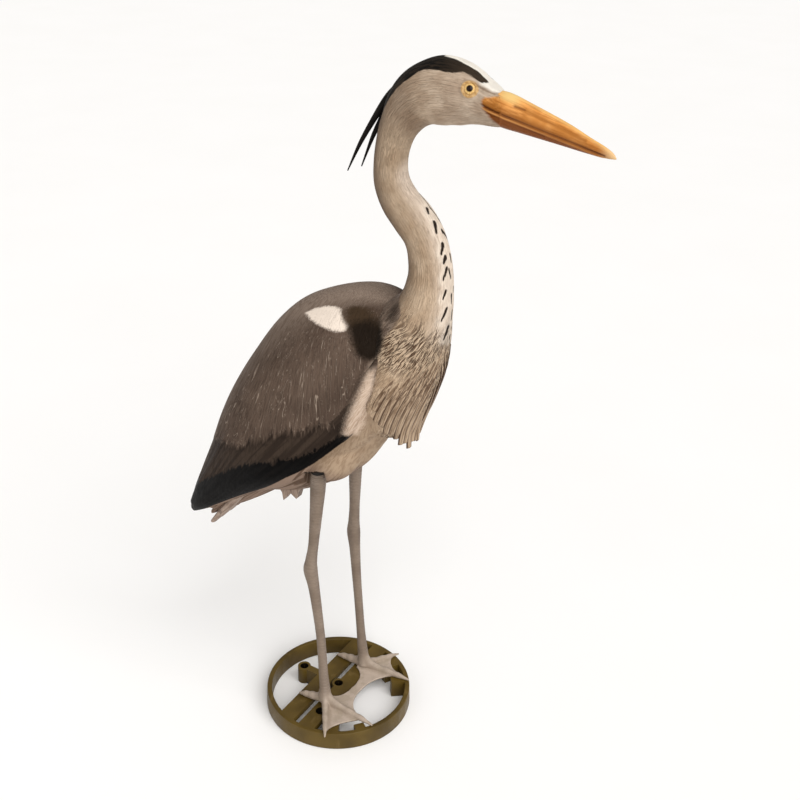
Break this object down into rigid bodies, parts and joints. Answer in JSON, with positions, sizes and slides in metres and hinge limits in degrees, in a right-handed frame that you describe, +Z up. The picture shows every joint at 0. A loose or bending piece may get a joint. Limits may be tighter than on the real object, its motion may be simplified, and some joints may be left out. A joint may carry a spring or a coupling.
{
  "type": "heron garden ornament",
  "caption": "Life-size moulded heron standing on webbed feet in a round open stand, a garden ornament and pond decoy.",
  "frame": {"origin": "middle of the stand's underside, on the floor", "axes": "+Z up, -Y the way the bill points, +X the bird's left"},
  "size_m": [0.198, 0.5452, 0.8821],
  "materials": {
    "stand_plastic": "semi-gloss olive brown",
    "leg_plastic": "matt grey-beige",
    "painted_plumage": "matt spray-painted plumage",
    "plume_plastic": "matt black"
  },
  "bodies": {
    "root": {"stand": "stand_plastic", "legs_and_feet": "leg_plastic", "body": "painted_plumage", "crest_plumes": "plume_plastic"}
  },
  "joints": []
}
